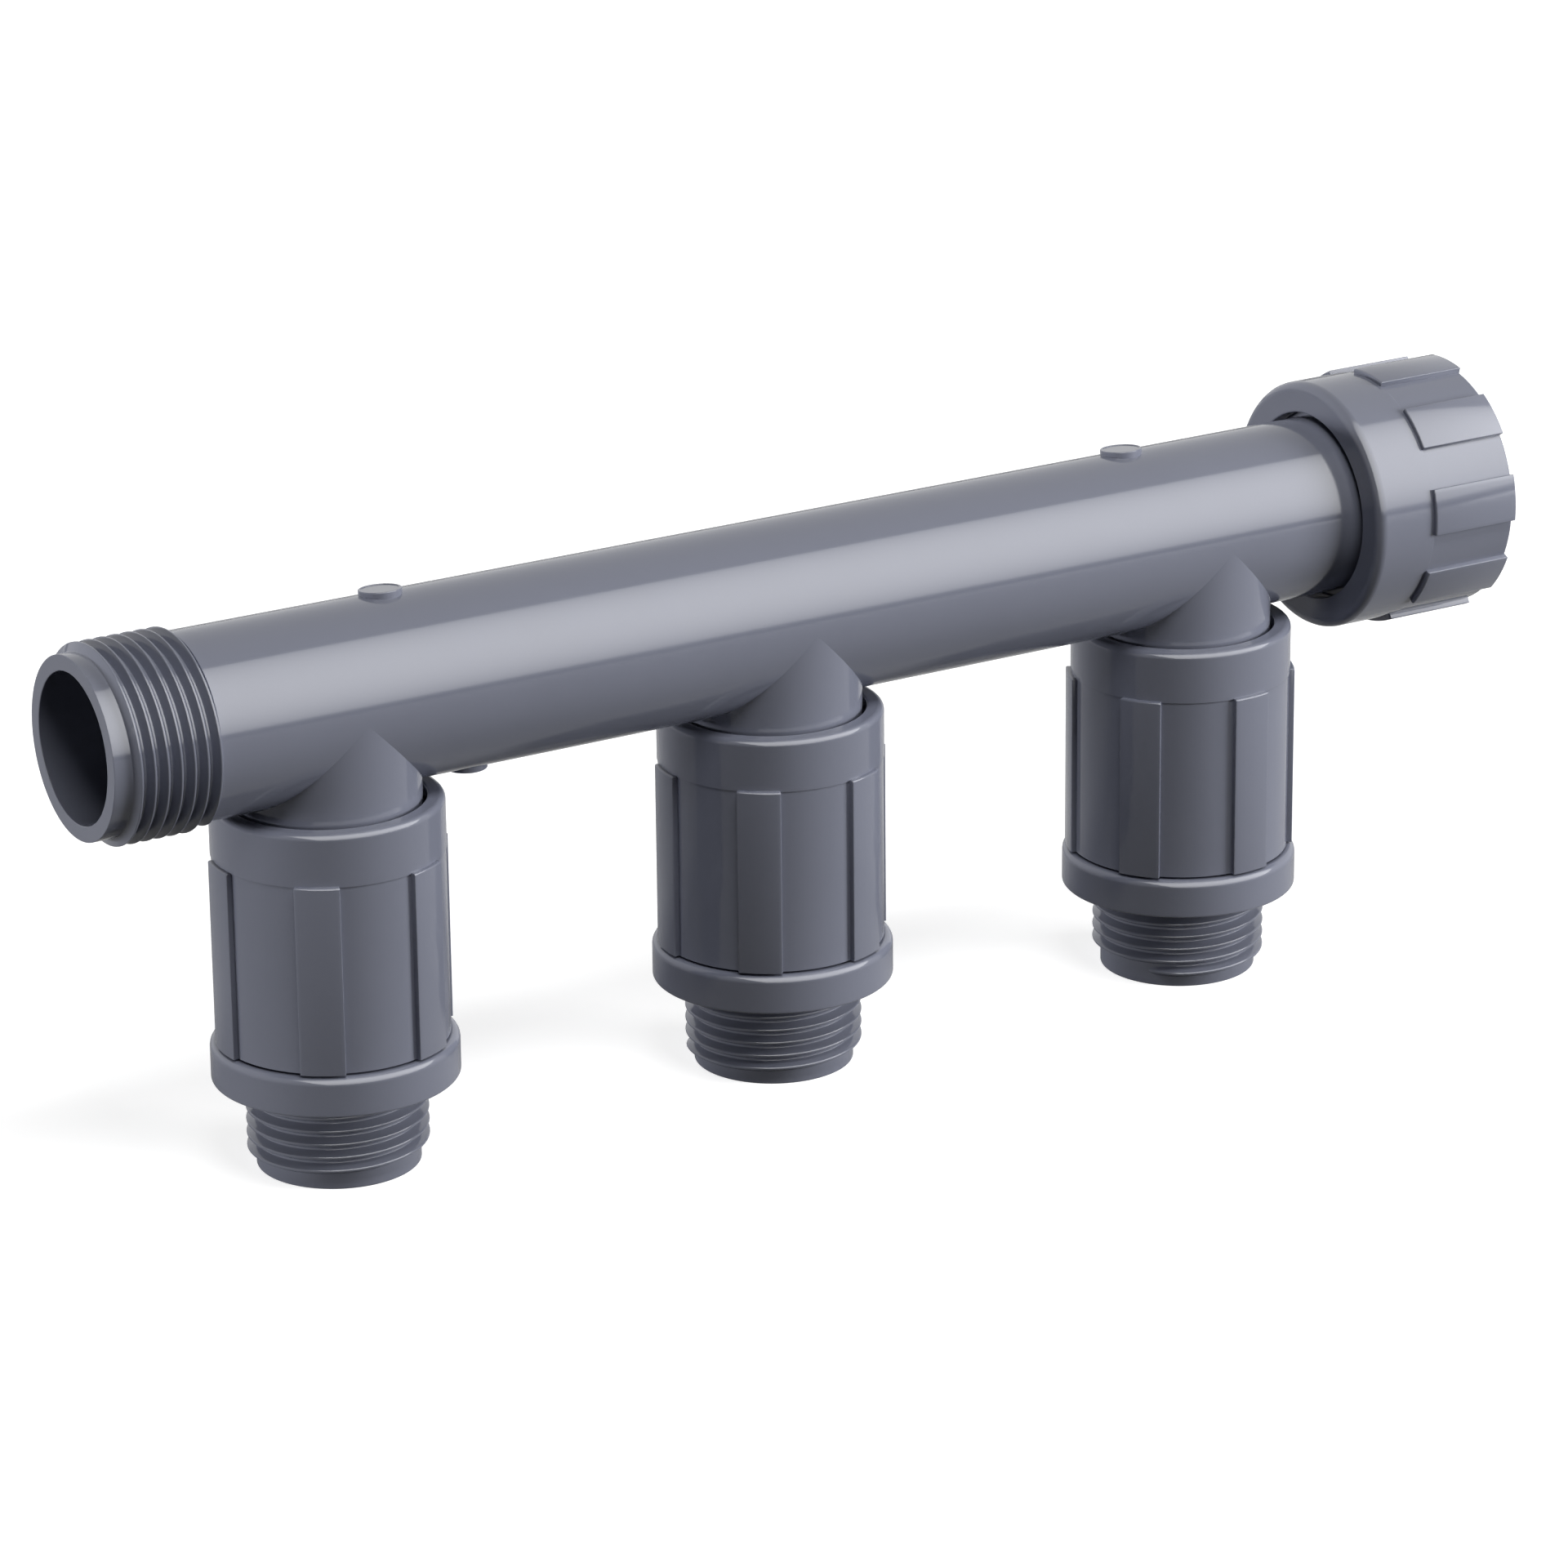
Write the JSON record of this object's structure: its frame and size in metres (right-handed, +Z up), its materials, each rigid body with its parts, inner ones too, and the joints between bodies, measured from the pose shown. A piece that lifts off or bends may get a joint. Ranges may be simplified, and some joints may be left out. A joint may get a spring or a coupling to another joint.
{
  "type": "irrigation valve manifold",
  "caption": "Grey plastic irrigation manifold: a pipe with a male thread at one end, a ribbed swivel nut at the other and drop outlets on ribbed union nuts.",
  "frame": {"origin": "centre of the middle outlet's lower end", "axes": "+X along the main pipe, from the male inlet thread towards the swivel nut; +Z up, from the outlets towards the pipe"},
  "size_m": [0.2683, 0.0454, 0.1026],
  "materials": {
    "pvc_grey": "moulded, semi-gloss",
    "rubber_black": "matt"
  },
  "bodies": {
    "manifold": {"manifold_body": "pvc_grey", "inlet_gasket": "rubber_black"},
    "swivel_nut": {"inlet_nut": "pvc_grey"},
    "tail_1": {"outlet_tail_1": "pvc_grey", "drop_gasket_1": "rubber_black"},
    "nut_1": {"drop_nut_1": "pvc_grey"},
    "tail_2": {"outlet_tail_2": "pvc_grey", "drop_gasket_2": "rubber_black"},
    "nut_2": {"drop_nut_2": "pvc_grey"},
    "tail_3": {"outlet_tail_3": "pvc_grey", "drop_gasket_3": "rubber_black"},
    "nut_3": {"drop_nut_3": "pvc_grey"}
  },
  "joints": [
    {"name": "inlet_nut_turn", "type": "hinge", "parent": "manifold", "child": "swivel_nut", "pos_m": [0.1245, 0, 0.0799], "axis": [1, 0, 0], "continuous": true},
    {"name": "tail_1_drop", "type": "slide", "parent": "manifold", "child": "tail_1", "axis": [0, 0, -1], "range_m": [0, 0.01617]},
    {"name": "nut_1_turn", "type": "hinge", "parent": "tail_1", "child": "nut_1", "pos_m": [-0.084, 0, 0.043], "axis": [0, 0, -1], "range_deg": [0, 2520]},
    {"name": "tail_2_drop", "type": "slide", "parent": "manifold", "child": "tail_2", "axis": [0, 0, -1], "range_m": [0, 0.01617]},
    {"name": "nut_2_turn", "type": "hinge", "parent": "tail_2", "child": "nut_2", "pos_m": [0, 0, 0.043], "axis": [0, 0, -1], "range_deg": [0, 2520]},
    {"name": "tail_3_drop", "type": "slide", "parent": "manifold", "child": "tail_3", "axis": [0, 0, -1], "range_m": [0, 0.01617]},
    {"name": "nut_3_turn", "type": "hinge", "parent": "tail_3", "child": "nut_3", "pos_m": [0.084, 0, 0.043], "axis": [0, 0, -1], "range_deg": [0, 2520]}
  ],
  "couplings": [
    {"joint": "tail_1_drop", "follows": "nut_1_turn", "m_per_rad": 0.00036749},
    {"joint": "tail_2_drop", "follows": "nut_2_turn", "m_per_rad": 0.00036749},
    {"joint": "tail_3_drop", "follows": "nut_3_turn", "m_per_rad": 0.00036749}
  ]
}
